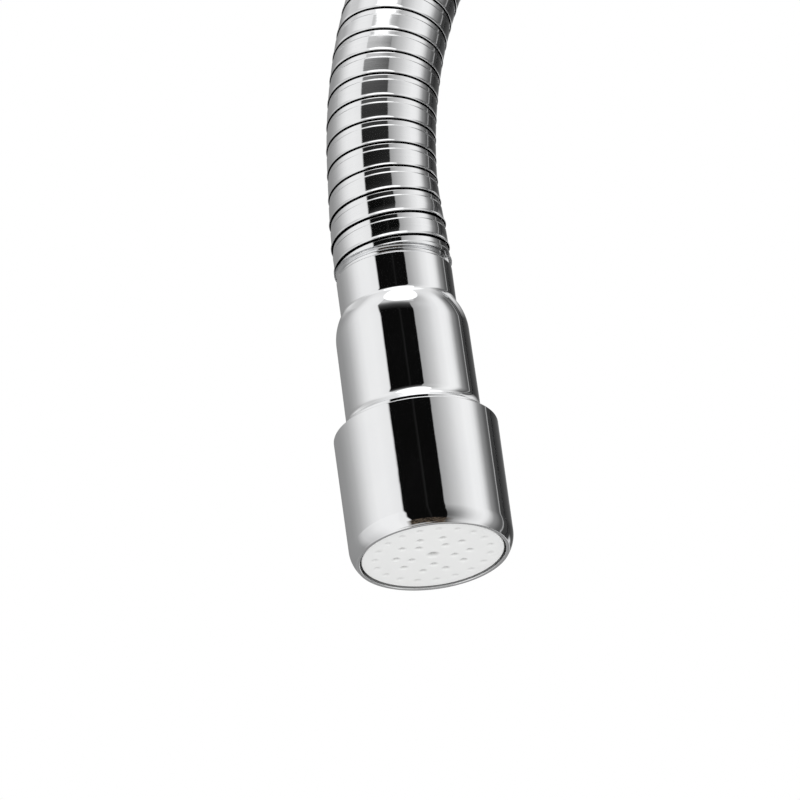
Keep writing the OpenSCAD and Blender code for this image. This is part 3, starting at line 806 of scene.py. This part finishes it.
# The room that the chrome mirrors: brightness of its walls by azimuth in degrees
ROOM_BY_AZIMUTH = [
    (-180, 0.36), (-164, 0.26), (-131, 0.30), (-120, 0.35), (-108, 0.44), (-97, 0.60),
    (-85, 0.79), (-74, 0.89), (-57, 0.905), (-40, 0.86), (-38.2, 0.82), (-37.4, 0.003),
    (-6, 0.003), (-4.8, 0.02), (-3.6, 0.003), (18.6, 0.003), (19.2, 0.36), (26, 0.42),
    (41, 0.61), (53, 0.81), (66, 0.93), (77, 0.915), (84, 0.80), (96, 0.29), (109, 0.11),
    (115.2, 0.09), (115.8, 0.5), (117.6, 0.5), (118.2, 0.05), (136, 0.04), (158, 0.10),
    (180, 0.36),
]

# How far the card's left and right edges lean to the left by elevation in degrees, as a
# share of LEAN_REACH: 0.5 is upright
LEFT_LEAN = [
    (-34, 0.0), (-24, 0.1), (-13, 0.25), (4, 0.3), (18, 0.5), (29, 0.66), (38, 0.8),
    (47, 0.55), (56, 0.5),
]
RIGHT_LEAN = [
    (-26, 0.15), (-8, 0.3), (8, 0.45), (22, 0.5), (29, 0.64), (38, 0.78), (48, 0.58),
    (58, 0.6),
]
LEAN_REACH = 28

# Brightness of the card's upper part, and shade beside its right edge, by elevation
CARD_TOP = [(24, 0.0), (30, 0.02), (34, 0.045), (37, 0.1), (39, 0.18), (41, 0.36), (44, 0.62)]
CARD_DUSK = [(-32, 0.55), (-18, 0.8), (-6, 0.66), (10, 0.3), (23, 0.0)]

# The round lamp over the card: its middle and half its size in azimuth and elevation
LAMP_AZIMUTH, LAMP_ELEVATION = -7, 64
LAMP_HALF_WIDTH, LAMP_HALF_HEIGHT = 41, 20.5


def studio_room():
    """World: a room with a tall black card in front. On its left the wall is white and falls
    to grey behind, and on its right it is white and ends in a dark wall with one bright
    slit. A round lamp hangs over the card, and rough ground lies below it. Mirrors see all
    this by azimuth from the card's side and by elevation, in degrees. All else sees plain
    white, which lights matt surfaces a little less than it shows."""
    world = bpy.data.worlds.new("Studio")
    bpy.context.scene.world = world
    graph = Graph(world)
    at = graph.node("ShaderNodeTexCoord", out="Generated")

    def along(direction):
        """How far a ray runs along a direction: their dot product."""
        inputs = {0: at, 1: direction}
        return graph.node("ShaderNodeVectorMath", {"operation": "DOT_PRODUCT"}, inputs, out=1)

    side, front, up = along(tuple(right)), along(tuple(-level)), along((0, 0, 1))
    azimuth = side.maths("ARCTAN2", side, front) * (360 / TAU)
    elevation = up.maths("ARCSINE", up, 0.0) * (360 / TAU)

    def by_azimuth(start, end):
        """0 at azimuth start and 1 at azimuth end."""
        return graph.span(azimuth, start, end)

    def by_elevation(start, end):
        """0 at elevation start and 1 at elevation end."""
        return graph.span(elevation, start, end)

    lean = graph.mix(
        by_azimuth(-25, 5), graph.curve(elevation, LEFT_LEAN), graph.curve(elevation, RIGHT_LEAN)
    )
    lean = graph.mix(by_azimuth(25, 60), lean, grey(0.5))
    ragged = (graph.noise(at, 70.0, 2.0) - 0.5) * by_azimuth(100, 110) * by_elevation(14, 6) * 4
    place = azimuth + ragged + lean * LEAN_REACH - LEAN_REACH / 2
    wall = graph.curve(place, ROOM_BY_AZIMUTH)
    wall = wall.larger(graph.curve(elevation, CARD_TOP) * by_azimuth(28, 18))

    beside_card = graph.curve(elevation, CARD_DUSK) * (by_azimuth(80, 20) * by_azimuth(5, 15))
    kerb = by_elevation(15, 13) * by_azimuth(-40, -44) * by_azimuth(-118, -104)
    corner = by_elevation(17, 12) * by_azimuth(136, 144) * by_azimuth(164, 158)
    behind = graph.span(azimuth * azimuth, 120**2, 150**2) * by_elevation(36, 46)
    lamp_x = (azimuth - LAMP_AZIMUTH) * (1 / LAMP_HALF_WIDTH)
    lamp_y = (elevation - LAMP_ELEVATION) * (1 / LAMP_HALF_HEIGHT)
    lamp_disc = graph.span(lamp_x * lamp_x + lamp_y * lamp_y, 1.08, 0.95)
    grit = graph.noise(at, 16.0, 4.0, 0.7)
    gravel = graph.tint(grit, 0.40, 0.66, (0.008, 0.007, 0.006, 1), (0.15, 0.115, 0.085, 1))
    for cover, colour in (
        (beside_card, grey(0.003)),
        (kerb * 0.35, grey(1.0)),
        (corner, grey(0.85)),
        (behind.larger(by_elevation(54, 68)), grey(0.8)),
        (lamp_disc.larger(by_elevation(72, 76)), grey(1.3)),
        (by_elevation(-27, -30) * (by_azimuth(-34, -26) * by_azimuth(42, 26)), gravel),
        (by_elevation(-45, -49) * by_azimuth(-70, -50), grey(0.52)),
    ):
        wall = graph.mix(cover, wall, colour)

    mirrored = graph.node("ShaderNodeLightPath", out="Is Glossy Ray")
    diffuse = graph.node("ShaderNodeLightPath", out="Is Diffuse Ray")
    seen = graph.mix(mirrored, graph.mix(diffuse, grey(1.0), grey(0.78)), wall)
    background = graph.node("ShaderNodeBackground", {}, {"Color": seen})
    graph.node("ShaderNodeOutputWorld", {}, {"Surface": background})


def floor():
    """Pale floor under the nut. Seen from below it isn't there, and the lamp below it shines
    through. It isn't mirrored."""
    material = bpy.data.materials.new("Floor")
    graph = Graph(material)
    at = graph.node("ShaderNodeTexCoord", out="Object")
    tone = graph.mix(graph.noise(at, 3.0, 2.0), grey(0.86), grey(0.84))
    pale = graph.node("ShaderNodeBsdfPrincipled", {}, {"Base Color": tone, "Roughness": 0.8})
    clear = graph.node("ShaderNodeBsdfTransparent")
    back = graph.node("ShaderNodeNewGeometry", out="Backfacing")
    surface = graph.node("ShaderNodeMixShader", {}, {0: back, 1: pale, 2: clear})
    graph.node("ShaderNodeOutputMaterial", {}, {"Surface": surface})
    mesh = bpy.data.meshes.new("Floor")
    corners = [(-1, -1), (1, -1), (1, 1), (-1, 1)]
    points = [(x * FLOOR_HALF, y * FLOOR_HALF, FLOOR_Z) for x, y in corners]
    mesh.from_pydata(points, [], [(0, 1, 2, 3)])
    mesh.materials.append(material)
    made = bpy.data.objects.new("Floor", mesh)
    bpy.context.scene.collection.objects.link(made)
    made.visible_glossy = made.visible_shadow = False


def lamp(name, place, size, power):
    """A square soft box that points at the middle of the part and isn't mirrored in it."""
    data = bpy.data.lights.new(name, "AREA")
    data.size, data.energy = size, power
    made = bpy.data.objects.new(name, data)
    bpy.context.scene.collection.objects.link(made)
    made.location = place
    made.rotation_mode = "QUATERNION"
    made.rotation_quaternion = (PART_MIDDLE - Vector(place)).to_track_quat("-Z", "Y")
    made.visible_glossy = False


camera()
studio_room()
floor()
lamp("Soft.Left", (-0.9, -0.9, 1.1), 0.9, 5.0)
lamp("Soft.Right", (0.9, -0.5, 1.0), 0.9, 2.5)
lamp("Soft.Front", (-0.55, -0.66, -0.25), 0.3, 1.6)
bpy.context.scene.view_settings.view_transform = "Standard"
